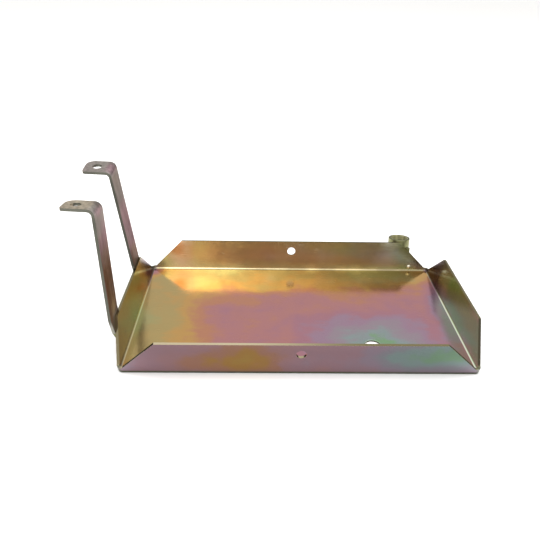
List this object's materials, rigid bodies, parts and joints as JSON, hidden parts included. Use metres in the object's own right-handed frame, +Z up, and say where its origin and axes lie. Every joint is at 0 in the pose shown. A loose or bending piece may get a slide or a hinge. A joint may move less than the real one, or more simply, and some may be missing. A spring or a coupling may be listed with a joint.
{
  "type": "vehicle battery tray",
  "caption": "Shallow folded sheet-steel tray with open mitred corners, hung by bent strip legs on one side, with a spacer tube welded behind it.",
  "frame": {"origin": "middle of the base's underside", "axes": "+X along the tray, away from the hanger legs; +Y towards the flange with the spacer tube; +Z up"},
  "size_m": [0.364, 0.2127, 0.1425],
  "materials": {
    "tray_plate": "glossy iridescent yellow zinc plate, gold to pink, green and violet",
    "leg_plate": "yellow zinc plate, mauve-brown to grey-green",
    "tube_plate": "yellow zinc plate, olive",
    "weld_plate": "rippled weld metal under yellow zinc plate"
  },
  "bodies": {
    "root": {"tray": "tray_plate", "front_leg": "leg_plate", "rear_leg": "leg_plate", "spacer_tube": "tube_plate", "front_leg_toe_weld": "weld_plate", "front_leg_side_weld": "weld_plate", "rear_leg_toe_weld": "weld_plate", "rear_leg_side_weld": "weld_plate", "tube_left_weld": "weld_plate", "tube_right_weld": "weld_plate", "tube_weld_nub": "weld_plate"}
  },
  "joints": []
}
